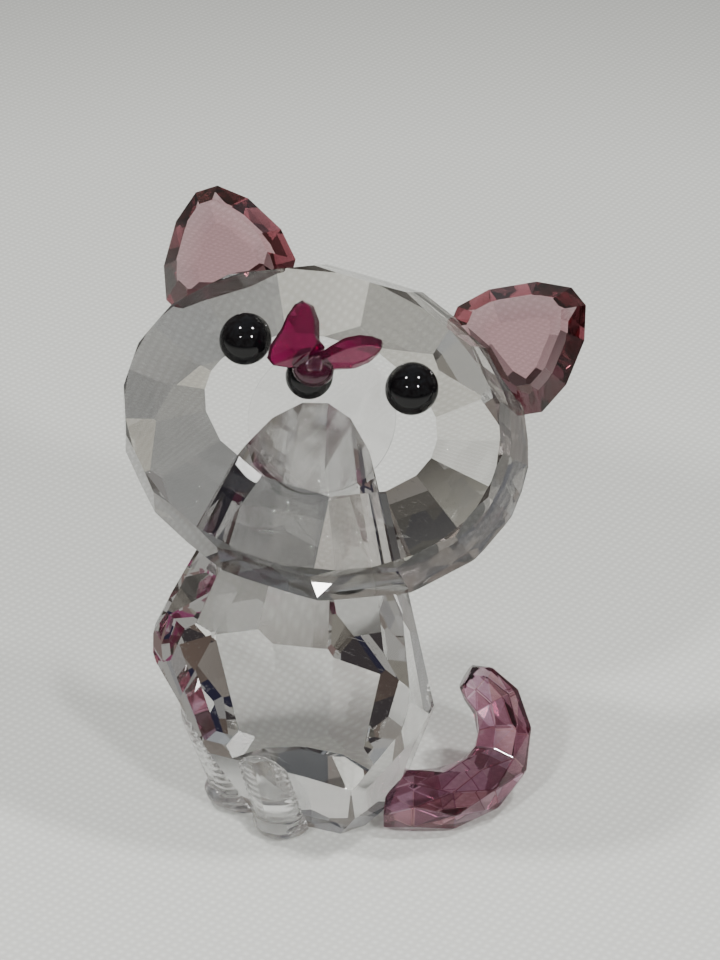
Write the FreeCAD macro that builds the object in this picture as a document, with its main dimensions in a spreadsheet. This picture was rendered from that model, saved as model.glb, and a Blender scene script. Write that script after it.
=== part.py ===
import FreeCAD, Part
import math
import os

import Sketcher

# A clear crystal kitten with a small cast butterfly on its nose.
# Row frame: the kitten's chest faces -Y, up is +Z, the origin is the middle of the flat base.
# Lengths are in millimetres and angles in degrees.

SIZES = [
    ("blank_size", 60.0, "reach of a grinding plane"),
    ("head_half_width", 16.15, "head, half length along the eye line"),
    ("head_half_height", 12.6, "head, half height from chin to crown"),
    ("head_front_depth", 5.0, "head, middle plane to the face"),
    ("head_back_depth", 5.0, "head, middle plane to the flat back"),
    ("head_girdle_half", 0.5, "head, middle plane to the start of a facet row"),
    ("head_front_tilt", 15.0, "head, lean of the steep front facets from the face axis"),
    ("head_back_tilt", 48.0, "head, lean of the outer back facets from the face axis"),
    ("head_break_tilt", 40.0, "head, lean of the small facets round the face"),
    ("head_break_inset", 1.25, "head, small facets' inset from the girdle at the face"),
    ("head_star_tilt", 60.0, "head, lean of the inner back facets from the face axis"),
    ("head_star_inset", 6.6, "head, inner back facets' inset from the girdle at the flat back"),
    ("head_yaw", 20.5, "head turned from the chest direction"),
    ("head_lean", 50.0, "head, tilt of the face axis from straight up"),
    ("head_roll", -10.1, "head tilted over to its left"),
    ("neck_x", -1.0, "neck bond centre, sideways"),
    ("neck_y", 5.16, "neck bond centre, towards the back"),
    ("neck_z", 31.52, "neck bond centre, height"),
    ("neck_shift_side", 0.72, "head centre past the neck, along the eye line"),
    ("neck_shift_up", -1.06, "head centre past the neck, towards the crown"),
    ("nape_shift", 1.3, "inner back facets' centre past the head centre, in neck shifts"),
    ("neck_bond_radius", 5.9, "cured adhesive disc, radius"),
    ("neck_bond_thickness", 0.15, "cured adhesive disc, thickness"),
    ("body_radius", 11.3, "body, axis to the widest facets"),
    ("band_height", 10.0, "body, height of the widest facets' axis point"),
    ("band_lean", 12.4, "body, widest facets' axis leans forward"),
    ("seat_turn", -13.0, "forelegs, their middle direction, turned to the kitten's right"),
    ("leg_fan", 27.0, "foreleg, turned out from the middle direction"),
    ("seat_reach", 5.0, "body, seat of a foreleg from the origin at the table"),
    ("seat_tilt", 27.0, "body, seat of a foreleg leans out on the way up"),
    ("body_axis_y", -2.9, "body, upper rows' axis at body_axis_z, towards the back"),
    ("body_axis_z", 12.0, "body, height of the widest point"),
    ("body_lean", 12.4, "body, upper rows' axis leans back"),
    ("hem_radius", 6.9, "body, axis to the lowest facets at the table"),
    ("hem_tilt", 38.0, "body, lowest facets from the vertical"),
    ("foot_radius", 7.6, "body, axis to the lower facets at the base"),
    ("foot_lean", 8.0, "body, lower facets' axis leans forward"),
    ("foot_tilt", 20.0, "body, lower facets from their axis"),
    ("haunch_radius", 10.5, "body, upper axis to the haunch facets"),
    ("haunch_start", 4.1, "body, widest height to haunch_radius"),
    ("haunch_tilt", 19.0, "body, haunch facets from the axis"),
    ("shoulder_radius", 9.4, "body, shoulder axis to the shoulder facets"),
    ("shoulder_y", 0.6, "body, shoulder axis at shoulder_z, towards the back"),
    ("shoulder_z", 21.5, "body, height of shoulder_radius"),
    ("shoulder_lean", 18.0, "body, shoulder axis leans back"),
    ("shoulder_tilt", 17.5, "body, shoulder facets from their axis"),
    ("body_up", 48.0, "body blank, reach above the widest height"),
    ("body_down", 32.0, "body blank, reach below the widest height"),
    ("chest_radius", 6.3, "body, chest facets where they meet the neck cut"),
    ("chest_reach", 60.0, "body, chest facets blank, length"),
    ("chest_tilt", 79.0, "body, chest facets from the face axis"),
    ("ear_side", 11.3, "ear, corner to corner"),
    ("ear_bulge", 1.35, "ear, how far a side swells outwards"),
    ("ear_front_depth", 2.3, "ear, middle plane to its front table"),
    ("ear_back_depth", 1.6, "ear, middle plane to its back table"),
    ("ear_front_tilt", 35.0, "ear, lean of its front facets"),
    ("ear_back_tilt", 60.0, "ear, lean of its back facets"),
    ("ear_corner_reach", 5.75, "ear, centre to its blunted corners"),
    ("ear_corner_tilt", 38.0, "ear, lean of the corner facets"),
    ("ear_middle_x", 12.5, "ear centre from the face midline"),
    ("ear_middle_y", 11.3, "ear centre above the head middle"),
    ("ear_middle_z", -1.0, "ear centre behind the head middle"),
    ("ear_turn", 34.0, "ear point turned out from straight up"),
    ("eye_radius", 2.05, "eye dome, radius"),
    ("eye_height", 1.6, "eye dome, height"),
    ("dome_rim", 0.25, "eyes and nose, short straight edge"),
    ("eye_spacing", 6.85, "eye centre from the face midline"),
    ("eye_rise", 4.4, "eye centre above the head middle"),
    ("nose_radius", 1.85, "nose dome, radius"),
    ("nose_height", 1.4, "nose dome, height"),
    ("nose_side", -1.1, "nose centre from the face midline"),
    ("nose_rise", 3.1, "nose centre above the head middle"),
    ("leg_radius", 1.85, "foreleg, radius"),
    ("leg_straight", 8.8, "foreleg, height of its straight part"),
    ("leg_sink", 0.5, "foreleg, extra length ground away at the table"),
    ("leg_lean", 18.0, "foreleg, leans out on the way up"),
    ("leg_reach", 5.8, "foreleg axis from the origin at the table"),
    ("paw_radius", 1.75, "paw, radius"),
    ("paw_dome", 1.5, "paw, length of its rounded front"),
    ("paw_straight", 1.0, "paw, heel to where the rounding starts"),
    ("paw_heel", 0.5, "paw heel behind the foreleg axis"),
    ("paw_middle", 1.1, "paw, height of its axis"),
    ("toe_groove_radius", 0.22, "paw, radius of a toe line's section"),
    ("toe_groove_ring", 1.82, "paw, radius of a toe line's sweep"),
    ("toe_groove_spacing", 0.58, "paw, toe line from the middle"),
    ("tail_tip_height", 1.4, "tail, rounded end"),
    ("butterfly_half_length", 1.9, "butterfly, half length of the body"),
    ("butterfly_radius", 0.75, "butterfly, body radius"),
    ("butterfly_side", -0.5, "butterfly centre from the face midline"),
    ("butterfly_rise", 3.9, "butterfly centre above the head middle"),
    ("butterfly_turn", -12.0, "butterfly turned on the nose"),
    ("wing_thickness", 0.8, "butterfly, wing thickness"),
    ("wing_lift", 35.0, "butterfly, wings raised from flat"),
    ("wing_overlap", 0.9, "butterfly, wing centre from the body line, in half lengths"),
    ("fore_wing_swing", 38.0, "butterfly, fore wings swung forwards"),
    ("hind_wing_swing", -28.0, "butterfly, hind wings swung backwards"),
    ("butterfly_seat", 0.6, "butterfly, body line above the nose top"),
    ("fore_wing_length", 2.7, "butterfly, fore wing, half length"),
    ("fore_wing_width", 1.7, "butterfly, fore wing, half width"),
    ("hind_wing_length", 1.9, "butterfly, hind wing, half length"),
    ("hind_wing_width", 1.35, "butterfly, hind wing, half width"),
]

# The tail's middle line, from inside the body to the tip: sideways, back, height, radius.
TAIL_STATIONS = [
    (5.6, -0.9, 2.6, 2.5),
    (8.4, 0.0, 2.4, 2.55),
    (10.9, 1.4, 2.3, 2.6),
    (12.6, 3.4, 2.3, 2.6),
    (13.5, 5.8, 2.6, 2.55),
    (13.7, 8.3, 3.7, 2.45),
    (12.8, 10.1, 5.3, 2.3),
    (11.3, 10.9, 7.0, 2.1),
    (9.6, 10.6, 8.4, 1.85),
]
for number, station in enumerate(TAIL_STATIONS):
    for part, value in zip(("x", "y", "z", "radius"), station):
        SIZES.append((f"tail_{part}_at_{number}", value, f"tail station {number}, {part}"))

SIZE = {alias: value for alias, value, _ in SIZES}

HEAD_SIDES = 16
BODY_SIDES = 14


def new_sheet(doc):
    """Puts every driving size in one spreadsheet."""
    sheet = doc.addObject("Spreadsheet::Sheet", "Sizes")
    for row, (alias, value, note) in enumerate(SIZES, start=1):
        sheet.set(f"A{row}", note)
        sheet.set(f"B{row}", str(value))
        sheet.setAlias(f"B{row}", alias)
    doc.recompute()
    return sheet


def facet(doc, name, turn, reach, start, tilt, span, place):
    """One grinding plane, kept side inwards.

    The plane faces `turn` degrees round the stone's axis, lies `reach` from the axis at height
    `start`, and leans in by `tilt` on the way up; `span` is (low, high) along the axis.
    """
    wedge = doc.addObject("Part::Wedge", name)
    low, high = span
    wedge.setExpression("Ymin", low)
    wedge.setExpression("Ymax", high)
    wedge.setExpression("Xmax", f"{reach} + (({start}) - ({low})) * tan({tilt} * 1 deg)")
    wedge.setExpression("X2max", f"{reach} + (({start}) - ({high})) * tan({tilt} * 1 deg)")
    for far in ("Xmin", "X2min", "Zmin", "Z2min"):
        wedge.setExpression(far, "-Sizes.blank_size")
    for far in ("Zmax", "Z2max"):
        wedge.setExpression(far, "Sizes.blank_size")
    wedge.setExpression("Placement", (
        f"{place} * placement(vector(0; 0; 0); rotation(vector(0; 0; 1); {turn})"
        " * rotation(vector(1; 0; 0); 90))"))
    return wedge


def ring(doc, name, sides, half_step, wide, deep, start, tilt, span, place):
    """A row of facets round an oval: `wide` and `deep` are its half axes at height `start`."""
    planes = []
    for index in range(sides):
        turn = 360.0 / sides * (index + 0.5 * half_step)
        reach = f"sqrt(({wide} * cos({turn} deg))^2 + ({deep} * sin({turn} deg))^2)"
        planes.append(facet(doc, f"{name}_{index}", turn, reach, start, tilt, span, place))
    return planes


def common(doc, name, shapes):
    """What every facet row leaves standing."""
    stone = doc.addObject("Part::MultiCommon", name)
    stone.Label = name
    stone.Shapes = shapes
    return stone


HEAD_TURN = ("rotation(vector(0; 0; 1); Sizes.head_yaw) * rotation(vector(1; 0; 0); Sizes.head_lean)"
             " * rotation(vector(0; 0; 1); Sizes.head_roll)")
NECK_PLACE = f"placement(vector(Sizes.neck_x; Sizes.neck_y; Sizes.neck_z); {HEAD_TURN})"
HEAD_PLACE = (f"{NECK_PLACE} * placement(vector(Sizes.neck_shift_side; Sizes.neck_shift_up; "
              "Sizes.neck_bond_thickness + Sizes.head_back_depth); rotation(0; 0; 0))")
NAPE_PLACE = (f"{HEAD_PLACE} * placement(vector(-Sizes.nape_shift * Sizes.neck_shift_side;"
              " -Sizes.nape_shift * Sizes.neck_shift_up; 0); rotation(0; 0; 0))")


def on_head(side, rise, depth, spin="0"):
    """A place given in the face's own directions: sideways, towards the crown, out of the face."""
    return f"{HEAD_PLACE} * placement(vector({side}; {rise}; {depth}); rotation(vector(0; 0; 1); {spin}))"


def add_head(doc):
    """Lens-shaped head: two flat tables joined by rows of facets."""
    front, back, girdle = "Sizes.head_front_depth", "-Sizes.head_back_depth", "Sizes.head_girdle_half"
    oval = ("Sizes.head_half_width", "Sizes.head_half_height")
    rows = (
        ("head_crown", 0, "0", girdle, "Sizes.head_front_tilt", HEAD_PLACE),
        ("head_rim", 1, "Sizes.head_break_inset", front, "Sizes.head_break_tilt", HEAD_PLACE),
        ("head_back", 1, "0", f"-{girdle}", "-Sizes.head_back_tilt", HEAD_PLACE),
        ("head_star", 0, "Sizes.head_star_inset", back, "-Sizes.head_star_tilt", NAPE_PLACE),
    )
    planes = []
    for name, half_step, inset, start, tilt, place in rows:
        wide, deep = (f"({half} - {inset})" for half in oval)
        planes += ring(doc, name, HEAD_SIDES, half_step, wide, deep, start, tilt, (back, front), place)
    return common(doc, "head", planes)


UPRIGHT = "placement(vector(0; 0; 0); rotation(0; 0; 0))"
FOOT_PLACE = "placement(vector(0; 0; 0); rotation(vector(1; 0; 0); Sizes.foot_lean))"
BODY_PLACE = ("placement(vector(0; Sizes.body_axis_y; Sizes.body_axis_z);"
              " rotation(vector(1; 0; 0); -Sizes.body_lean))")
BAND_PLACE = ("placement(vector(0; 0; Sizes.band_height);"
              " rotation(vector(1; 0; 0); Sizes.band_lean))")
SHOULDER_PLACE = ("placement(vector(0; Sizes.shoulder_y; Sizes.shoulder_z);"
                  " rotation(vector(1; 0; 0); -Sizes.shoulder_lean))")


def leg_place(side):
    """A foreleg's own directions: -Y points straight out of the body there; side is +1 or -1."""
    return ("placement(vector(0; 0; 0); rotation(vector(0; 0; 1);"
            f" Sizes.seat_turn + {side} * Sizes.leg_fan))")


def add_body(doc):
    """Barrel-shaped body: facet rows round a leaning axis, a flat base and a slanting neck cut."""
    span = ("-Sizes.body_down", "Sizes.body_up")
    rows = (
        ("body_hem", 0, "hem_radius", "0", "-Sizes.hem_tilt", UPRIGHT),
        ("body_foot", 1, "foot_radius", "0", "-Sizes.foot_tilt", FOOT_PLACE),
        ("body_band", 0, "body_radius", "0", "0", BAND_PLACE),
        ("body_haunch", 1, "haunch_radius", "Sizes.haunch_start", "Sizes.haunch_tilt", BODY_PLACE),
        ("body_shoulder", 0, "shoulder_radius", "0", "Sizes.shoulder_tilt", SHOULDER_PLACE),
    )
    planes = []
    for name, half_step, radius, start, tilt, place in rows:
        radius = f"Sizes.{radius}"
        planes += ring(doc, name, BODY_SIDES, half_step, radius, radius, start, tilt, span, place)
    for side in (1, -1):
        planes.append(facet(doc, f"body_seat_{side + 2}", -90, "Sizes.seat_reach", "0",
                            "-Sizes.seat_tilt", span, leg_place(side)))
    chest = "Sizes.chest_radius"
    planes += ring(doc, "body_chest", BODY_SIDES, 1, chest, chest, "0", "Sizes.chest_tilt",
                   ("-Sizes.chest_reach", "0"), NECK_PLACE)
    ground = doc.addObject("Part::Box", "body_base")
    for side in ("Length", "Width", "Height"):
        ground.setExpression(side, "2 * Sizes.blank_size")
    for axis in "xy":
        ground.setExpression(f"Placement.Base.{axis}", "-Sizes.blank_size")
    return common(doc, "body", planes + [ground])


def cut(doc, name, blank, tool):
    """A piece ground to seat on its neighbour."""
    piece = doc.addObject("Part::Cut", name)
    piece.Label = name
    piece.Base = blank
    piece.Tool = tool
    return piece


def fuse(doc, name, shapes):
    """Several shapes cast as one."""
    piece = doc.addObject("Part::MultiFuse", name)
    piece.Label = name
    piece.Shapes = shapes
    piece.Refine = False
    return piece


def add_ear(doc, name, side, head):
    """Three-cornered ear with swollen sides, ground to the back of the head's rim; side is +1 or -1."""
    place = on_head(f"{side} * Sizes.ear_middle_x", "Sizes.ear_middle_y", "Sizes.ear_middle_z",
                    f"{-side} * Sizes.ear_turn")
    span = ("-Sizes.ear_back_depth", "Sizes.ear_front_depth")
    swell = "atan(3 * Sizes.ear_bulge / Sizes.ear_side)"
    flat = "(Sizes.ear_side / (2 * sqrt(3)))"
    reaches = (
        ("left", f"-{swell}", f"({flat} * cos({swell}) + Sizes.ear_side / 2 * sin({swell}))"),
        ("middle", "0 deg", f"({flat} + Sizes.ear_bulge)"),
        ("right", swell, f"({flat} * cos({swell}) + Sizes.ear_side / 2 * sin({swell}))"),
    )
    planes = []
    for edge in range(3):
        for part, offset, reach in reaches:
            turn = f"({30 + 120 * edge} deg + {offset})"
            for face, tilt in (("front", "Sizes.ear_front_tilt"), ("back", "-Sizes.ear_back_tilt")):
                planes.append(facet(doc, f"{name}_{face}_{part}_{edge}", turn, reach, "0", tilt,
                                    span, place))
        corner = 90 + 120 * edge
        for face, sign in (("front", ""), ("back", "-")):
            planes.append(facet(doc, f"{name}_{face}_corner_{edge}", corner, "Sizes.ear_corner_reach", "0",
                                f"{sign}Sizes.ear_corner_tilt", span, place))
    blank = common(doc, name + "_blank", planes)
    return cut(doc, name, blank, head)


def add_dome(doc, name, radius, height, rim_height, place):
    """Round post or stone with a domed top; the sizes are names from the sheet."""
    body = doc.addObject("PartDesign::Body", name)
    body.Label = name
    sketch = body.newObject("Sketcher::SketchObject", name + "_profile")
    plane = next(item for item in body.Origin.OriginFeatures if item.Role == "XZ_Plane")
    sketch.AttachmentSupport = [(plane, "")]
    sketch.MapMode = "FlatFace"
    wide, tall, rim = SIZE[radius], SIZE[height], SIZE[rim_height]
    ball = (wide ** 2 + tall ** 2) / (2 * tall)
    middle = rim + tall - ball
    start = math.atan2(rim - middle, wide)
    low = FreeCAD.Vector(wide, 0, 0)
    edge = FreeCAD.Vector(wide, rim, 0)
    top = FreeCAD.Vector(0, rim + tall, 0)
    sketch.addGeometry(Part.LineSegment(FreeCAD.Vector(0, 0, 0), low), False)
    sketch.addGeometry(Part.LineSegment(low, edge), False)
    circle = Part.Circle(FreeCAD.Vector(0, middle, 0), FreeCAD.Vector(0, 0, 1), ball)
    sketch.addGeometry(Part.ArcOfCircle(circle, start, math.pi / 2), False)
    sketch.addGeometry(Part.LineSegment(top, FreeCAD.Vector(0, 0, 0)), False)
    rules = (
        ("Coincident", 0, 1, -1, 1), ("Horizontal", 0), ("Coincident", 0, 2, 1, 1), ("Vertical", 1),
        ("Coincident", 1, 2, 2, 1), ("Coincident", 2, 2, 3, 1), ("Coincident", 3, 2, 0, 1),
        ("Vertical", 3), ("PointOnObject", 2, 3, -2),
    )
    for rule in rules:
        sketch.addConstraint(Sketcher.Constraint(*rule))
    sizes = (
        (("DistanceX", 0, 1, 0, 2, wide), f"Sizes.{radius}"),
        (("DistanceY", 1, 1, 1, 2, rim), f"Sizes.{rim_height}"),
        (("DistanceY", 1, 2, 2, 2, tall), f"Sizes.{height}"),
    )
    for rule, size in sizes:
        number = sketch.addConstraint(Sketcher.Constraint(*rule))
        sketch.setExpression(f"Constraints[{number}]", size)
    dome = body.newObject("PartDesign::Revolution", name + "_dome")
    dome.Profile = sketch
    dome.ReferenceAxis = (sketch, ["V_Axis"])
    dome.Angle = 360
    body.setExpression("Placement", place)
    return body


def add_table(doc):
    """The space below the table, which the forelegs and the tail are ground to."""
    table = doc.addObject("Part::Box", "table")
    for side in ("Length", "Width", "Height"):
        table.setExpression(side, "2 * Sizes.blank_size")
    for axis in "xy":
        table.setExpression(f"Placement.Base.{axis}", "-Sizes.blank_size")
    table.setExpression("Placement.Base.z", "-2 * Sizes.blank_size")
    return table


def add_foreleg(doc, name, side, body, table):
    """Moulded foreleg: a round-topped post and a paw with two toe lines, seated on the chest."""
    place = leg_place(side)
    post = add_dome(doc, name + "_post", "leg_radius", "leg_radius", "leg_straight",
                    f"{place} * placement(vector(0; -Sizes.leg_reach; -Sizes.leg_sink);"
                    " rotation(vector(1; 0; 0); Sizes.leg_lean))")
    heel = ("placement(vector(0; Sizes.paw_heel - Sizes.leg_reach; Sizes.paw_middle);"
            " rotation(vector(1; 0; 0); 90))")
    paw = add_dome(doc, name + "_paw", "paw_radius", "paw_dome", "paw_straight", f"{place} * {heel}")
    blank = fuse(doc, name + "_blank", [post, paw])
    piece = cut(doc, name + "_flat", blank, table)
    for toe in (-1, 1):
        groove = doc.addObject("Part::Torus", f"{name}_toe_{toe + 2}")
        groove.setExpression("Radius1", "Sizes.toe_groove_ring")
        groove.setExpression("Radius2", "Sizes.toe_groove_radius")
        ahead = ("Sizes.paw_heel + Sizes.paw_radius - Sizes.leg_reach"
                 " - Sizes.paw_straight - Sizes.paw_dome")
        groove.setExpression("Placement", (
            f"{place} * placement(vector({toe} * Sizes.toe_groove_spacing; {ahead}; Sizes.paw_middle);"
            " rotation(vector(0; 1; 0); 90))"))
        piece = cut(doc, f"{name}_grooved_{toe + 2}", piece, groove)
    return cut(doc, name, piece, body)


def add_tail(doc, body, table):
    """Drawn and curled tail, thick where it meets the body, with a rounded tip."""
    points = [FreeCAD.Vector(*station[:3]) for station in TAIL_STATIONS]
    rings = []
    for number, point in enumerate(points):
        before = points[max(number - 1, 0)]
        after = points[min(number + 1, len(points) - 1)]
        section = doc.addObject("Part::Circle", f"tail_ring_{number}")
        section.setExpression("Radius", f"Sizes.tail_radius_at_{number}")
        for axis in "xyz":
            section.setExpression(f"Placement.Base.{axis}", f"Sizes.tail_{axis}_at_{number}")
        along = after - before
        level = FreeCAD.Vector(0, 0, 1).cross(along)
        section.Placement.Rotation = FreeCAD.Rotation(level, along.cross(level), along, "ZXY")
        rings.append(section)
    length = doc.addObject("Part::Loft", "tail_length")
    length.Sections = rings
    length.Solid = True
    last = len(points) - 1
    turn = rings[last].Placement.Rotation
    middle = "; ".join(f"Sizes.tail_{axis}_at_{last}" for axis in "xyz")
    aim = f"rotation(vector({turn.Axis.x}; {turn.Axis.y}; {turn.Axis.z}); {math.degrees(turn.Angle)})"
    tip = add_dome(doc, "tail_tip", f"tail_radius_at_{last}", "tail_tip_height", "dome_rim",
                   f"placement(vector({middle}); {aim})")
    flat = cut(doc, "tail_flat", fuse(doc, "tail_blank", [length, tip]), table)
    return cut(doc, "tail", flat, body)


def add_neck_bond(doc):
    """Cured clear adhesive between the neck cut and the back of the head."""
    disc = doc.addObject("Part::Cylinder", "neck_bond")
    disc.Label = "neck_bond"
    disc.setExpression("Radius", "Sizes.neck_bond_radius")
    disc.setExpression("Height", "Sizes.neck_bond_thickness")
    disc.setExpression("Placement", NECK_PLACE)
    return disc


def add_butterfly(doc, nose):
    """One cast butterfly: a rounded body and four wing lobes, hollowed where it sits on the nose."""
    place = on_head("Sizes.butterfly_side", "Sizes.butterfly_rise",
                    "Sizes.head_front_depth + Sizes.nose_height + Sizes.butterfly_seat",
                    "Sizes.butterfly_turn")
    trunk = doc.addObject("Part::Ellipsoid", "butterfly_trunk")
    trunk.setExpression("Radius1", "Sizes.butterfly_radius")
    trunk.setExpression("Radius2", "Sizes.butterfly_radius")
    trunk.setExpression("Radius3", "Sizes.butterfly_half_length")
    trunk.setExpression("Placement", place)
    shapes = [trunk]
    for side in (1, -1):
        for kind in ("fore", "hind"):
            oval = doc.addObject("Part::Ellipse", f"butterfly_{kind}_outline_{side + 2}")
            oval.setExpression("MajorRadius", f"Sizes.{kind}_wing_length")
            oval.setExpression("MinorRadius", f"Sizes.{kind}_wing_width")
            wing = doc.addObject("Part::Extrusion", f"butterfly_{kind}_wing_{side + 2}")
            wing.Base = oval
            wing.DirMode = "Custom"
            wing.Dir = FreeCAD.Vector(0, 0, 1)
            wing.Solid = True
            wing.setExpression("LengthFwd", "Sizes.wing_thickness / 2")
            wing.setExpression("LengthRev", "Sizes.wing_thickness / 2")
            facing = 0 if side == 1 else 180
            wing.setExpression("Placement", (
                f"{place} * placement(vector(0; 0; 0); rotation(vector(0; 0; 1); {facing})"
                f" * rotation(vector(0; 1; 0); -Sizes.wing_lift)"
                f" * rotation(vector(0; 0; 1); {side} * Sizes.{kind}_wing_swing))"
                f" * placement(vector(Sizes.{kind}_wing_length * Sizes.wing_overlap; 0; 0);"
                " rotation(0; 0; 0))"))
            shapes.append(wing)
    return cut(doc, "butterfly", fuse(doc, "butterfly_blank", shapes), nose)


def build():
    doc = FreeCAD.newDocument("CrystalKitten")
    new_sheet(doc)
    head = add_head(doc)
    body = add_body(doc)
    face = "Sizes.head_front_depth"
    nose_place = on_head("Sizes.nose_side", "Sizes.nose_rise", face)
    table = add_table(doc)
    nose = add_dome(doc, "nose", "nose_radius", "nose_height", "dome_rim", nose_place)
    parts = [head, body, nose, add_neck_bond(doc), add_butterfly(doc, nose), add_tail(doc, body, table)]
    for name, side in (("left", 1), ("right", -1)):
        parts.append(add_ear(doc, "ear_" + name, side, head))
        place = on_head(f"{side} * Sizes.eye_spacing", "Sizes.eye_rise", face)
        parts.append(add_dome(doc, "eye_" + name, "eye_radius", "eye_height", "dome_rim", place))
        parts.append(add_foreleg(doc, "foreleg_" + name, side, body, table))
    doc.recompute()
    for item in doc.Objects:
        if "Invalid" in item.State or "Error" in item.State:
            raise RuntimeError(f"{item.Name} did not build: {item.State}")
    os.makedirs("parts", exist_ok=True)
    for part in parts:
        shape = part.Shape
        if shape.isNull() or not shape.isValid():
            raise RuntimeError(f"{part.Label} has no valid shape")
        shape.exportStep(f"parts/{part.Label}.step")
        box = shape.optimalBoundingBox()
        print(part.Label, len(shape.Solids), len(shape.Faces), round(shape.Volume, 1),
              [round(v, 2) for v in (box.XMin, box.XMax, box.YMin, box.YMax, box.ZMin, box.ZMax)])


build()
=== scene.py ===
import math

import bmesh
import bpy
from mathutils import Matrix, Vector


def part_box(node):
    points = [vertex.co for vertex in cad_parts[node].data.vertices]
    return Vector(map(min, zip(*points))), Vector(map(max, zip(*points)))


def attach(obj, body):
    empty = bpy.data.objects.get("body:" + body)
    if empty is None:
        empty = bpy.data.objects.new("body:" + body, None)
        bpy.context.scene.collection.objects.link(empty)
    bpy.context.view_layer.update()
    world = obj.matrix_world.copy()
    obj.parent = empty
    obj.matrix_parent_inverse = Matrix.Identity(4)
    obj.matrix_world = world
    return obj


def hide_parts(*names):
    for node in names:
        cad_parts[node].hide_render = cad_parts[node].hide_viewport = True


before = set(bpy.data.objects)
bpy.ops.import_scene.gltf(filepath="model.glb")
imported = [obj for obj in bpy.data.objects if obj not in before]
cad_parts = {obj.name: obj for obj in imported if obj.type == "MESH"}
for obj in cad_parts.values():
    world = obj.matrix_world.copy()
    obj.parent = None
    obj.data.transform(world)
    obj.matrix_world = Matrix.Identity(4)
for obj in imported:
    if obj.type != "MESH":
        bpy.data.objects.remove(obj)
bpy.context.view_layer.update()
MM = 0.001

# The head's pose, in degrees, as in the CAD.
HEAD_YAW, HEAD_LEAN, HEAD_ROLL = 20.5, 50.0, -10.1


def collect(*names):
    return [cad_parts[name] for name in names]


def face_directions():
    """The face's own directions: along the eye line, towards the crown, out of the face."""
    yaw = Matrix.Rotation(math.radians(HEAD_YAW), 3, "Z")
    lean = Matrix.Rotation(math.radians(HEAD_LEAN), 3, "X")
    roll = Matrix.Rotation(math.radians(HEAD_ROLL), 3, "Z")
    turn = yaw @ lean @ roll
    return turn.col[0], turn.col[1], turn.col[2]


SIDE, CROWN, OUT = face_directions()
UP = Vector((0, 0, 1))


# ---------------------------------------------------------------- node helpers

def new_material(name):
    """A material that holds only a Principled shader and the output."""
    material = bpy.data.materials.new(name)
    material.use_nodes = True
    nodes = material.node_tree.nodes
    nodes.clear()
    output = nodes.new("ShaderNodeOutputMaterial")
    shader = nodes.new("ShaderNodeBsdfPrincipled")
    material.node_tree.links.new(shader.outputs["BSDF"], output.inputs["Surface"])
    return material, shader, output


def noise(tree, scale):
    """A noise value at `scale` cells per metre of the row frame."""
    place = tree.nodes.new("ShaderNodeTexCoord")
    texture = tree.nodes.new("ShaderNodeTexNoise")
    texture.inputs["Scale"].default_value = scale
    texture.inputs["Detail"].default_value = 3.0
    tree.links.new(place.outputs["Object"], texture.inputs["Vector"])
    return texture.outputs["Fac"]


def remap(tree, value, from_low, from_high, to_low, to_high):
    """`value` moved linearly from one range to another, clamped."""
    node = tree.nodes.new("ShaderNodeMapRange")
    for socket, number in zip(("From Min", "From Max", "To Min", "To Max"),
                              (from_low, from_high, to_low, to_high)):
        node.inputs[socket].default_value = number
    tree.links.new(value, node.inputs["Value"])
    return node.outputs["Result"]


def calculate(tree, operation, *values):
    """A Math node; each value is a socket or a number."""
    node = tree.nodes.new("ShaderNodeMath")
    node.operation = operation
    for socket, value in zip(node.inputs, values):
        if isinstance(value, float):
            socket.default_value = value
        else:
            tree.links.new(value, socket)
    return node.outputs["Value"]


def scaled(tree, vector, factor):
    node = tree.nodes.new("ShaderNodeVectorMath")
    node.operation = "SCALE"
    tree.links.new(vector, node.inputs[0])
    tree.links.new(factor, node.inputs["Scale"])
    return node.outputs["Vector"]


def share_along(tree, direction, axis):
    """The dot product of a direction with a fixed axis."""
    node = tree.nodes.new("ShaderNodeVectorMath")
    node.operation = "DOT_PRODUCT"
    tree.links.new(direction, node.inputs[0])
    node.inputs[1].default_value = axis
    return node.outputs["Value"]


def colour_ramp(tree, value, stops):
    """A colour for each value, by a list of (position, colour) from low to high."""
    ramp = tree.nodes.new("ShaderNodeValToRGB")
    elements = ramp.color_ramp.elements
    elements.remove(elements[1])
    elements[0].position = stops[0][0]
    elements[0].color = (*stops[0][1], 1.0)
    for position, colour in stops[1:]:
        elements.new(position).color = (*colour, 1.0)
    tree.links.new(value, ramp.inputs["Fac"])
    return ramp.outputs["Color"]


def bump(tree, height, strength, distance):
    node = tree.nodes.new("ShaderNodeBump")
    node.inputs["Strength"].default_value = strength
    node.inputs["Distance"].default_value = distance
    tree.links.new(height, node.inputs["Height"])
    return node.outputs["Normal"]


SCRATCH_SCALE, SCRATCH_STRETCH, SCRATCH_TURN = 420.0, (1.0, 14.0, 14.0), (0.5, 0.3, 0.9)
SCRATCH_DEPTH = 0.01 * MM


def scratches(tree):
    """Hair-fine handling marks: a noise stretched into streaks and cut to thin lines."""
    place = tree.nodes.new("ShaderNodeTexCoord")
    stretch = tree.nodes.new("ShaderNodeMapping")
    stretch.inputs["Rotation"].default_value = SCRATCH_TURN
    stretch.inputs["Scale"].default_value = SCRATCH_STRETCH
    texture = tree.nodes.new("ShaderNodeTexNoise")
    texture.inputs["Scale"].default_value = SCRATCH_SCALE
    tree.links.new(place.outputs["Object"], stretch.inputs["Vector"])
    tree.links.new(stretch.outputs["Vector"], texture.inputs["Vector"])
    return remap(tree, texture.outputs["Fac"], 0.70, 0.76, 0.0, 1.0)


# ---------------------------------------------------------------- glass

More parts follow.
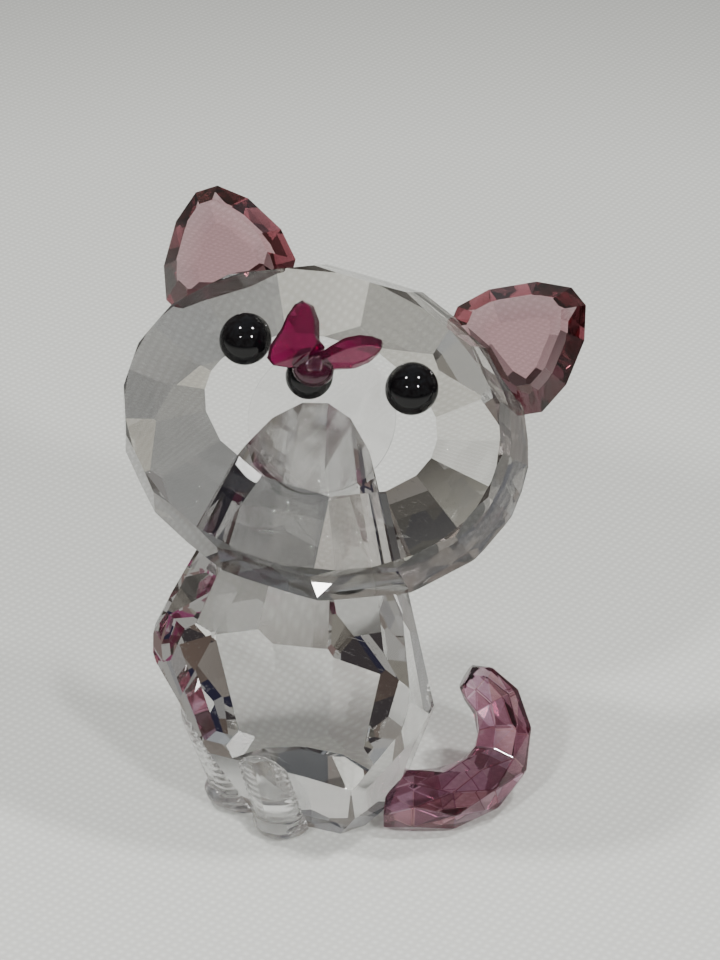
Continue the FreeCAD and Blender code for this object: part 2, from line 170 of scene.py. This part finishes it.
# Painted reflections: a facet's tones, from low to high: indigo, dark olive, beige, pale, brown pink. Each
# one is painted to stand for what the facet would reflect and refract of the room.
FACET_PAINTED_REFLECTIONS = [(0.02, (0.0008, 0.0008, 0.006)), (0.14, (0.010, 0.007, 0.005)), (0.30, (0.27, 0.24, 0.18)),
               (0.58, (0.78, 0.77, 0.72)), (0.80, (0.17, 0.085, 0.075))]
# The tail's painted reflections: maroon, lilac, lilac white, coral, dark red.
TAIL_PAINTED_REFLECTIONS = [(0.06, (0.20, 0.01, 0.06)), (0.22, (0.72, 0.46, 0.64)), (0.40, (1.0, 0.95, 1.0)),
              (0.58, (0.92, 0.56, 0.46)), (0.76, (0.30, 0.04, 0.10))]

# Black stone, in two shades that hardly differ.
BLACK_TONES = [(0.0, (0.0012, 0.0012, 0.0015)), (1.0, (0.0045, 0.0042, 0.0050))]

# Refraction of cut crystal, moulded and drawn glass, rose glass, cured adhesive and black stone.
CUT_INDEX, MOULDED_INDEX, ROSE_INDEX, ADHESIVE_INDEX, BLACK_INDEX = 1.55, 1.54, 1.56, 1.48, 1.38
# Finger prints on the glass and on the black stones, and the stones' cloudiness, in cells per metre.
PRINT_SCALE, STONE_PRINT_SCALE, STONE_CLOUD_SCALE = 260.0, 500.0, 900.0
# How finely the painted reflection tones scatter over the directions of the facets.
REFLECTION_SCATTER = 7.4

# Depths from which the tracer drops a ray: it follows four reflections, and twelve bounces in all.
LAST_REFLECTION, LAST_BOUNCE = 4.5, 11.5
# Strength of the painted glow that the glass gives off where the tracer drops a ray.
DROPPED_RAY_GLOW = 0.45


def outward_direction(tree):
    """The facet's outward direction, also where a ray meets it from inside the stone."""
    surface = tree.nodes.new("ShaderNodeNewGeometry")
    sign = calculate(tree, "ADD", calculate(tree, "MULTIPLY", surface.outputs["Backfacing"], -2.0), 1.0)
    return scaled(tree, surface.outputs["True Normal"], sign)


def painted_facet_reflection(tree, direction, tones):
    """One painted reflection tone for each facet: scattered, and painted darker towards the kitten's
    right.
    """
    scatter = tree.nodes.new("ShaderNodeTexNoise")
    scatter.inputs["Scale"].default_value = REFLECTION_SCATTER
    tree.links.new(direction, scatter.inputs["Vector"])
    scattered = remap(tree, scatter.outputs["Fac"], 0.36, 0.64, -0.10, 0.58)
    painted_side_shade = remap(tree, share_along(tree, direction, SIDE), -0.6, 0.6, -0.26, 0.40)
    return colour_ramp(tree, calculate(tree, "ADD", scattered, painted_side_shade), tones)


def paint_glow_on_dropped_rays(tree, shader, tone):
    """Painted glow: beyond the tracer's last bounce light would turn black; there the glass glows in the
    facet's painted reflection tone instead.
    """
    path = tree.nodes.new("ShaderNodeLightPath")
    reflected = calculate(tree, "GREATER_THAN", path.outputs["Glossy Depth"], LAST_REFLECTION)
    bounced = calculate(tree, "GREATER_THAN", path.outputs["Ray Depth"], LAST_BOUNCE)
    dropped = calculate(tree, "MAXIMUM", reflected, bounced)
    tree.links.new(calculate(tree, "MULTIPLY", dropped, DROPPED_RAY_GLOW), shader.inputs["Emission Strength"])
    glow_colour = tree.nodes.new("ShaderNodeGamma")
    glow_colour.inputs["Gamma"].default_value = 0.5
    tree.links.new(tone, glow_colour.inputs["Color"])
    tree.links.new(glow_colour.outputs["Color"], shader.inputs["Emission Color"])


def paint_reflections_on_facets(tree, shader, tone, direction, axis, share):
    """Paints the reflection tones into the side facets' colour and leaves those that look along the axis
    clear.
    """
    along = calculate(tree, "ABSOLUTE", share_along(tree, direction, axis))
    mix = tree.nodes.new("ShaderNodeMix")
    mix.data_type = "RGBA"
    factor, clear, painted_reflection_input = mix.inputs[0], mix.inputs[6], mix.inputs[7]
    tree.links.new(remap(tree, along, 0.88, 0.93, share, 0.0), factor)
    clear.default_value = (1.0, 1.0, 1.0, 1.0)
    tree.links.new(tone, painted_reflection_input)
    tree.links.new(mix.outputs[2], shader.inputs["Base Color"])


def glass(name, refraction, haze=0.02, tint=None, density=0.0, milk=0.0, body=(1.0, 1.0, 1.0),
          axis=None, share=0.0, tones=FACET_PAINTED_REFLECTIONS):
    """Clear or coloured glass, with finger prints (`haze`) and hair scratches.

    `tint` and `density` colour it by depth. `milk` is the share of light that it scatters back in its own
    `body` colour. With an `axis`, the facets that look away from that axis carry `share` of their painted
    reflection tone; every glass glows in that tone where the tracer drops a ray.
    """
    material, shader, output = new_material(name)
    tree = material.node_tree
    shader.inputs["Base Color"].default_value = (*body, 1.0)
    shader.inputs["Transmission Weight"].default_value = 1.0 - milk
    shader.inputs["IOR"].default_value = refraction
    prints = remap(tree, noise(tree, PRINT_SCALE), 0.52, 0.72, 0.0, haze)
    tree.links.new(prints, shader.inputs["Roughness"])
    tree.links.new(bump(tree, scratches(tree), 0.12, SCRATCH_DEPTH), shader.inputs["Normal"])
    direction = outward_direction(tree)
    tone = painted_facet_reflection(tree, direction, tones)
    paint_glow_on_dropped_rays(tree, shader, tone)
    if axis:
        paint_reflections_on_facets(tree, shader, tone, direction, axis, share)
    if tint:
        depth = tree.nodes.new("ShaderNodeVolumeAbsorption")
        depth.inputs["Color"].default_value = (*tint, 1.0)
        depth.inputs["Density"].default_value = density
        tree.links.new(depth.outputs["Volume"], output.inputs["Volume"])
    return material


def black_glass():
    """Opaque black pressed stone, fire polished."""
    material, shader, _ = new_material("black_crystal")
    tree = material.node_tree
    cloud = colour_ramp(tree, noise(tree, STONE_CLOUD_SCALE), BLACK_TONES)
    prints = remap(tree, noise(tree, STONE_PRINT_SCALE), 0.45, 0.75, 0.03, 0.10)
    tree.links.new(cloud, shader.inputs["Base Color"])
    tree.links.new(prints, shader.inputs["Roughness"])
    tree.links.new(bump(tree, scratches(tree), 0.08, SCRATCH_DEPTH), shader.inputs["Normal"])
    shader.inputs["IOR"].default_value = BLACK_INDEX
    return material


def paint(names, material):
    for node in collect(*names):
        node.data.materials.clear()
        node.data.materials.append(material)


# The glass with an axis (tail, ears, head, body) carries painted reflections on its side facets; all glass
# glows in painted tones where the tracer drops a ray.
MOULDED = glass("moulded_crystal", MOULDED_INDEX)
LILAC = glass("lilac_crystal", MOULDED_INDEX, tint=(0.64, 0.38, 0.51), density=330.0, axis=UP, share=0.9,
              tones=TAIL_PAINTED_REFLECTIONS)
FUCHSIA = glass("fuchsia_crystal", MOULDED_INDEX, tint=(0.62, 0.10, 0.46), density=1500.0, milk=0.07,
                body=(0.34, 0.02, 0.12))
ROSE = glass("rose_crystal", ROSE_INDEX, tint=(0.74, 0.44, 0.50), density=400.0, axis=UP, share=0.30)
paint(("head",), glass("clear_crystal", CUT_INDEX, axis=OUT, share=0.90))
paint(("body",), glass("clear_crystal_body", CUT_INDEX, axis=UP, share=0.35))
paint(("foreleg_left", "foreleg_right"), MOULDED)
paint(("ear_left", "ear_right"), ROSE)
paint(("tail",), LILAC)
paint(("butterfly",), FUCHSIA)
paint(("eye_left", "eye_right", "nose"), black_glass())
paint(("neck_bond",), glass("adhesive", ADHESIVE_INDEX, haze=0.08))


# ---------------------------------------------------------------- building pieces

def skin(shape, rings):
    """Joins rings of equal length into one closed shell."""
    rows = [[shape.verts.new(point) for point in ring] for ring in rings]
    for low, high in zip(rows, rows[1:]):
        for here in range(len(low)):
            after = (here + 1) % len(low)
            shape.faces.new((low[here], low[after], high[after], high[here]))
    shape.faces.new(list(reversed(rows[0])))
    shape.faces.new(rows[-1])


def new_piece(name, shape, node, material):
    """A finished object that stands for one CAD node."""
    bmesh.ops.recalc_face_normals(shape, faces=shape.faces)
    mesh = bpy.data.meshes.new(name)
    shape.to_mesh(mesh)
    shape.free()
    piece = bpy.data.objects.new(name, mesh)
    mesh.materials.append(material)
    bpy.context.scene.collection.objects.link(piece)
    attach(piece, "root")
    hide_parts(node)
    return piece


# Widths of the rounded facet edges, and the grain of the cast skin.
STONE_EDGE, TAIL_EDGE, CAST_GRAIN = 0.05 * MM, 0.08 * MM, 0.07 * MM


def polish_edges(piece, width):
    """Rounds the facet edges by a hair, so that they catch the light."""
    edges = piece.modifiers.new("polished_edges", "BEVEL")
    edges.width = width
    edges.segments = 2
    edges.limit_method = "ANGLE"
    edges.angle_limit = math.radians(5.0)


def melt(piece, grain):
    """Runs overlapping shells into one cast, softly rounded skin."""
    modifier = piece.modifiers.new("cast", "REMESH")
    modifier.mode = "VOXEL"
    modifier.voxel_size = grain
    modifier.use_smooth_shade = True
    soften = piece.modifiers.new("fire_polish", "SMOOTH")
    soften.iterations = 1


# ---------------------------------------------------------------- butterfly
# In mm from the middle of the butterfly's body: along the eye line, towards the crown, out of the face.

# The body's middle, from the middle of the nose.
BUTTERFLY_PLACE = (0.6, 0.35, 1.45)
# Left wing pair: each outline point with the point of the ground top facet above it.
WING_OUTLINE = [
    ((0.6, 1.7), (0.1, 1.7)), ((0.0, 2.1), (-0.3, 2.2)), ((-0.5, 3.5), (-0.75, 3.4)),
    ((-1.3, 4.5), (-1.35, 4.2)), ((-2.3, 4.7), (-1.9, 4.4)), ((-2.8, 4.2), (-2.0, 4.1)),
    ((-3.1, 3.2), (-2.0, 3.2)), ((-3.2, 2.0), (-1.95, 2.3)), ((-3.6, 0.6), (-1.9, 1.5)),
    ((-3.5, -0.4), (-1.6, 0.9)), ((-2.9, -0.8), (-1.2, 0.6)), ((-1.5, -0.6), (-0.7, 0.4)),
    ((-0.3, 0.0), (-0.2, 0.9)),
]
WING_UNDERSIDE, WING_EDGE, WING_TOP = 0.65, 1.0, 1.9
WING_UNDERCUT = 0.9
# Right wing pair: its ends, its tilt in degrees, and its half width at each share of its length.
LEAF_ROOT, LEAF_TIP, LEAF_TILT = Vector((0.7, 0.7, 0.6)), Vector((5.0, 3.0, 2.2)), 56.0
LEAF_WIDTHS = [(0.0, 0.9), (0.2, 1.3), (0.45, 1.65), (0.7, 1.5), (0.88, 1.0), (1.0, 0.25)]
# Its layers from below: share of the width, and rise.
LEAF_LAYERS = [(0.75, -0.25), (1.0, 0.0), (0.5, 0.5)]
# The domed body: half length, half width, half height, and how far it sits up.
DOME_LENGTH, DOME_WIDTH, DOME_HEIGHT, DOME_RISE = 1.65, 1.45, 1.15, 0.1
DOME_ROWS, DOME_SIDES = 12, 24


def wing_rings(at):
    """The broad wing pair: undercut below, widest at its edge, with one flat ground facet on top."""
    return [
        [at(x * WING_UNDERCUT, y * WING_UNDERCUT, WING_UNDERSIDE) for (x, y), _ in WING_OUTLINE],
        [at(x, y, WING_EDGE) for (x, y), _ in WING_OUTLINE],
        [at(x, y, WING_TOP) for _, (x, y) in WING_OUTLINE],
    ]


def leaf_rings(at):
    """The narrow wing pair, raised on its edge."""
    along = LEAF_TIP - LEAF_ROOT
    level = Vector((-along.y, along.x, 0)).normalized()
    width = level * math.cos(math.radians(LEAF_TILT)) + UP * math.sin(math.radians(LEAF_TILT))
    thick = along.cross(width).normalized()
    rings = []
    for share, rise in LEAF_LAYERS:
        there = [(reach, half * share) for reach, half in LEAF_WIDTHS]
        back = [(reach, -half) for reach, half in reversed(there)]
        spots = [LEAF_ROOT + along * reach + width * half + thick * rise for reach, half in there + back]
        rings.append([at(*spot) for spot in spots])
    return rings


def dome_rings(at):
    turns = [2 * math.pi * number / DOME_SIDES for number in range(DOME_SIDES)]
    rings = []
    for row in range(1, DOME_ROWS):
        polar = math.pi * row / DOME_ROWS
        length, width = DOME_LENGTH * math.sin(polar), DOME_WIDTH * math.sin(polar)
        height = DOME_RISE - DOME_HEIGHT * math.cos(polar)
        rings.append([at(length * math.cos(turn), width * math.sin(turn), height) for turn in turns])
    return rings


def add_butterfly():
    """Cast butterfly: a domed body, a broad wing pair with a flat top, and a narrow raised pair."""
    low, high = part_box("nose")
    nose = (low + high) / 2

    def place(origin, x, y, z):
        return origin + (SIDE * x + CROWN * y + OUT * z) * MM

    middle = place(nose, *BUTTERFLY_PLACE)

    def at(x, y, z):
        return place(middle, x, y, z)

    shape = bmesh.new()
    for rings in (wing_rings(at), leaf_rings(at), dome_rings(at)):
        skin(shape, rings)
    melt(new_piece("butterfly_cast", shape, "butterfly", FUCHSIA), CAST_GRAIN)


# ---------------------------------------------------------------- tail

# The tail's middle line from the body to the tip: sideways, back, height and radius in mm.
TAIL_LINE = [
    (8.1, -0.1, 2.4, 2.5), (10.0, 0.8, 2.3, 2.55), (12.0, 2.5, 2.3, 2.6), (13.4, 5.3, 2.5, 2.6),
    (13.8, 7.9, 3.5, 2.5), (13.0, 9.9, 5.1, 2.35), (11.5, 10.9, 6.9, 2.15), (9.9, 10.7, 8.2, 1.85),
    (8.9, 10.3, 8.8, 1.1),
]
TAIL_SIDES = 8


def add_tail():
    """Drawn and curled tail, cut in slanting facets and ground flat where it lies on the table."""
    points = [Vector(station[:3]) for station in TAIL_LINE]
    rings = []
    for number, (point, station) in enumerate(zip(points, TAIL_LINE)):
        along = (points[min(number + 1, len(points) - 1)] - points[max(number - 1, 0)]).normalized()
        level = UP.cross(along).normalized()
        rise = along.cross(level)
        ring = []
        for corner in range(TAIL_SIDES):
            turn = 2 * math.pi * (corner + 0.5 * number) / TAIL_SIDES
            spot = point + (level * math.cos(turn) + rise * math.sin(turn)) * station[3]
            ring.append(Vector((spot.x, spot.y, max(spot.z, 0.0))) * MM)
        rings.append(ring)
    shape = bmesh.new()
    skin(shape, rings)
    bmesh.ops.triangulate(shape, faces=shape.faces)
    polish_edges(new_piece("tail_cut", shape, "tail", LILAC), TAIL_EDGE)


# ---------------------------------------------------------------- forelegs

# As in the CAD, in mm and degrees: the slanted seat on the chest, and the leg on it.
SEAT_TURN, LEG_FAN, SEAT_REACH, SEAT_TILT = -13.0, 27.0, 5.0, 27.0
LEG_REACH, LEG_LEAN, LEG_HALF_WIDTH, LEG_SHOULDER, LEG_TOP = 5.8, 18.0, 1.8, 8.0, 9.8
PAW_HEIGHT, PAW_BULGE, TOE_DEPTH = 2.3, 0.6, 0.22
# The moulding seam's beads, and how the skin is divided.
BEAD_STEP, BEAD_SIZE = 0.75, 0.26
LEG_ROWS, FRONT_STEPS, BACK_STEPS = 72, 28, 6
LEG_GAP = 0.02


def foreleg_ring(height, side):
    """The leg's cut at one height: (across, reach), round the front and back along the seat."""
    seat = SEAT_REACH + height * math.tan(math.radians(SEAT_TILT))
    front = LEG_REACH + height * math.tan(math.radians(LEG_LEAN)) + LEG_HALF_WIDTH
    arch = math.sqrt(max(1 - (max(height - LEG_SHOULDER, 0) / (LEG_TOP - LEG_SHOULDER)) ** 2, 0.0))
    paw = math.sin(math.pi * min(height / PAW_HEIGHT, 1.0))
    depth = max(front - seat, 0.5) * (0.35 + 0.65 * arch) + PAW_BULGE * paw
    ring = []
    for step in range(FRONT_STEPS + 1):
        swing = math.pi * step / FRONT_STEPS
        seam = abs(math.cos(swing)) ** 8
        row = math.sin(math.pi * height / BEAD_STEP + side * step / FRONT_STEPS) ** 2
        bead = BEAD_SIZE * seam * (0.4 + row)
        toes = TOE_DEPTH * paw * abs(math.sin(1.5 * (swing - math.pi / 2))) * math.sin(swing)
        across = -(LEG_HALF_WIDTH * arch + bead) * math.cos(swing) * (1 + 0.08 * paw)
        ring.append((across, seat + (depth + toes) * math.sin(swing) ** 0.8 + bead))
    for step in range(1, BACK_STEPS):
        ring.append((LEG_HALF_WIDTH * arch * (1 - 2 * step / BACK_STEPS), seat + LEG_GAP))
    return ring


def add_foreleg(name, side):
    """Moulded foreleg: flat back on the seat, round front, arched top, toed paw and a beaded edge."""
    turn = Matrix.Rotation(math.radians(SEAT_TURN + side * LEG_FAN), 3, "Z")
    rings = []
    for row in range(LEG_ROWS + 1):
        height = LEG_GAP + (LEG_TOP - 3 * LEG_GAP) * row / LEG_ROWS
        ring = foreleg_ring(height, side)
        rings.append([turn @ Vector((across, -reach, height)) * MM for across, reach in ring])
    shape = bmesh.new()
    skin(shape, rings)
    piece = new_piece(name + "_moulded", shape, name, MOULDED)
    for polygon in piece.data.polygons:
        polygon.use_smooth = True


# ---------------------------------------------------------------- floor, light and camera

FLOOR_HALF, FLOOR_DROP = 0.9, 0.02 * MM
THREADS_SCALE = 420.0
CLOTH_TONES = [(0.0, (0.50, 0.505, 0.475)), (1.0, (0.595, 0.605, 0.575))]
# The cloth's faint glow: painted light that stands in for light let through the glass into the shadows.
CLOTH_PAINTED_GLOW = 0.16


def threads(tree, place, direction):
    """One set of the weave's threads."""
    wave = tree.nodes.new("ShaderNodeTexWave")
    wave.bands_direction = direction
    wave.inputs["Scale"].default_value = THREADS_SCALE
    wave.inputs["Distortion"].default_value = 1.2
    wave.inputs["Detail"].default_value = 1.5
    tree.links.new(place.outputs["Object"], wave.inputs["Vector"])
    return wave.outputs["Fac"]


def table_cloth():
    """A pale plain weave, with a painted pool of light: dimmer far from the figurine. It also glows
    faintly, painted light that lifts its shadows.
    """
    material, shader, _ = new_material("table_cloth")
    tree = material.node_tree
    place = tree.nodes.new("ShaderNodeTexCoord")
    weave = calculate(tree, "MULTIPLY", threads(tree, place, "X"), threads(tree, place, "Y"))
    away = tree.nodes.new("ShaderNodeVectorMath")
    away.operation = "LENGTH"
    tree.links.new(place.outputs["Object"], away.inputs[0])
    # Painted pool of light: the weave darkens away from the figurine.
    painted_light_pool = remap(tree, away.outputs["Value"], 0.13, 0.30, 1.0, 0.22)
    cloth = scaled(tree, colour_ramp(tree, weave, CLOTH_TONES), painted_light_pool)
    tree.links.new(cloth, shader.inputs["Base Color"])
    tree.links.new(cloth, shader.inputs["Emission Color"])
    tree.links.new(bump(tree, weave, 0.25, 0.05 * MM), shader.inputs["Normal"])
    shader.inputs["Roughness"].default_value = 0.9
    shader.inputs["Emission Strength"].default_value = CLOTH_PAINTED_GLOW
    return material


def add_floor():
    mesh = bpy.data.meshes.new("floor")
    corners = [(x * FLOOR_HALF, y * FLOOR_HALF, 0) for x, y in ((-1, -1), (1, -1), (1, 1), (-1, 1))]
    mesh.from_pydata(corners, [], [(0, 1, 2, 3)])
    mesh.materials.append(table_cloth())
    floor = bpy.data.objects.new("floor", mesh)
    floor.location.z = -FLOOR_DROP
    bpy.context.scene.collection.objects.link(floor)


# A dim room: warm and dark at eye level, pale overhead.
ROOM_TONES = [(0.12, (0.07, 0.048, 0.044)), (0.28, (0.27, 0.20, 0.165)), (0.52, (0.50, 0.46, 0.42)),
              (0.95, (0.75, 0.80, 0.86))]
ROOM_STRENGTH = 0.48


def add_world():
    """The room, with soft patches for the facets to break up."""
    world = bpy.data.worlds.new("studio")
    bpy.context.scene.world = world
    world.use_nodes = True
    tree = world.node_tree
    place = tree.nodes.new("ShaderNodeTexCoord")
    split = tree.nodes.new("ShaderNodeSeparateXYZ")
    tree.links.new(place.outputs["Generated"], split.inputs["Vector"])
    patches = tree.nodes.new("ShaderNodeTexNoise")
    patches.inputs["Scale"].default_value = 3.4
    patches.inputs["Detail"].default_value = 2.0
    tree.links.new(place.outputs["Generated"], patches.inputs["Vector"])
    height = remap(tree, split.outputs["Z"], 0.0, 1.0, 0.08, 0.45)
    patchy = remap(tree, patches.outputs["Fac"], 0.38, 0.62, 0.0, 0.60)
    room = colour_ramp(tree, calculate(tree, "ADD", height, patchy), ROOM_TONES)
    tree.links.new(room, tree.nodes["Background"].inputs["Color"])
    tree.nodes["Background"].inputs["Strength"].default_value = ROOM_STRENGTH


def toward(azimuth, elevation):
    """The direction from the figurine to a viewer: degrees round from its front to its left, and up."""
    turn, rise = math.radians(azimuth), math.radians(elevation)
    return Vector((math.sin(turn) * math.cos(rise), -math.cos(turn) * math.cos(rise), math.sin(rise)))


VIEW_AZIMUTH, VIEW_ELEVATION = 34.0, 30.0
VIEW_DISTANCE, VIEW_LENS = 0.250, 121.0
VIEW_TARGET = Vector((0.0053, 0.0, 0.0313))
PANEL_ELEVATION, PANEL_DISTANCE, PANEL_SIZE, PANEL_POWER = 64.0, 0.45, 0.040, 1.15
PANEL_SPREAD, PANEL_STACK = 0.44, 0.36
LIT_CENTRE = Vector((0, 0, 0.025))


def add_panel(name, direction):
    """A square lamp that faces the figurine."""
    lamp = bpy.data.lights.new(name, "AREA")
    lamp.shape = "SQUARE"
    lamp.size = PANEL_SIZE
    lamp.energy = PANEL_POWER
    holder = bpy.data.objects.new(name, lamp)
    holder.location = LIT_CENTRE + direction.normalized() * PANEL_DISTANCE
    holder.rotation_mode = "QUATERNION"
    holder.rotation_quaternion = direction.to_track_quat("Z", "Y")
    bpy.context.scene.collection.objects.link(holder)


def add_ceiling_panels():
    """Four panels, two by two, high in front; each shows as a small square in the domed eyes."""
    ahead = toward(VIEW_AZIMUTH, PANEL_ELEVATION)
    side = toward(VIEW_AZIMUTH + 90.0, 0.0)
    upward = ahead.cross(side)
    for row in (-1, 1):
        for column in (-1, 1):
            direction = ahead + side * PANEL_SPREAD * column + upward * PANEL_STACK * row
            add_panel(f"panel_{row}_{column}", direction)


def add_camera():
    """The photograph's angle: round to the kitten's left and from above, with a long lens."""
    camera = bpy.data.objects.new("camera", bpy.data.cameras.new("camera"))
    bpy.context.scene.collection.objects.link(camera)
    back = toward(VIEW_AZIMUTH, VIEW_ELEVATION)
    camera.location = VIEW_TARGET + back * VIEW_DISTANCE
    camera.rotation_mode = "QUATERNION"
    camera.rotation_quaternion = (-back).to_track_quat("-Z", "Y")
    camera.data.lens = VIEW_LENS
    camera.data.clip_start = 0.01
    camera.data.clip_end = 10.0
    bpy.context.scene.camera = camera


for stone in collect("head", "body", "ear_left", "ear_right"):
    polish_edges(stone, STONE_EDGE)
add_butterfly()
add_tail()
add_foreleg("foreleg_left", 1)
add_foreleg("foreleg_right", -1)
add_floor()
add_world()
add_ceiling_panels()
add_camera()
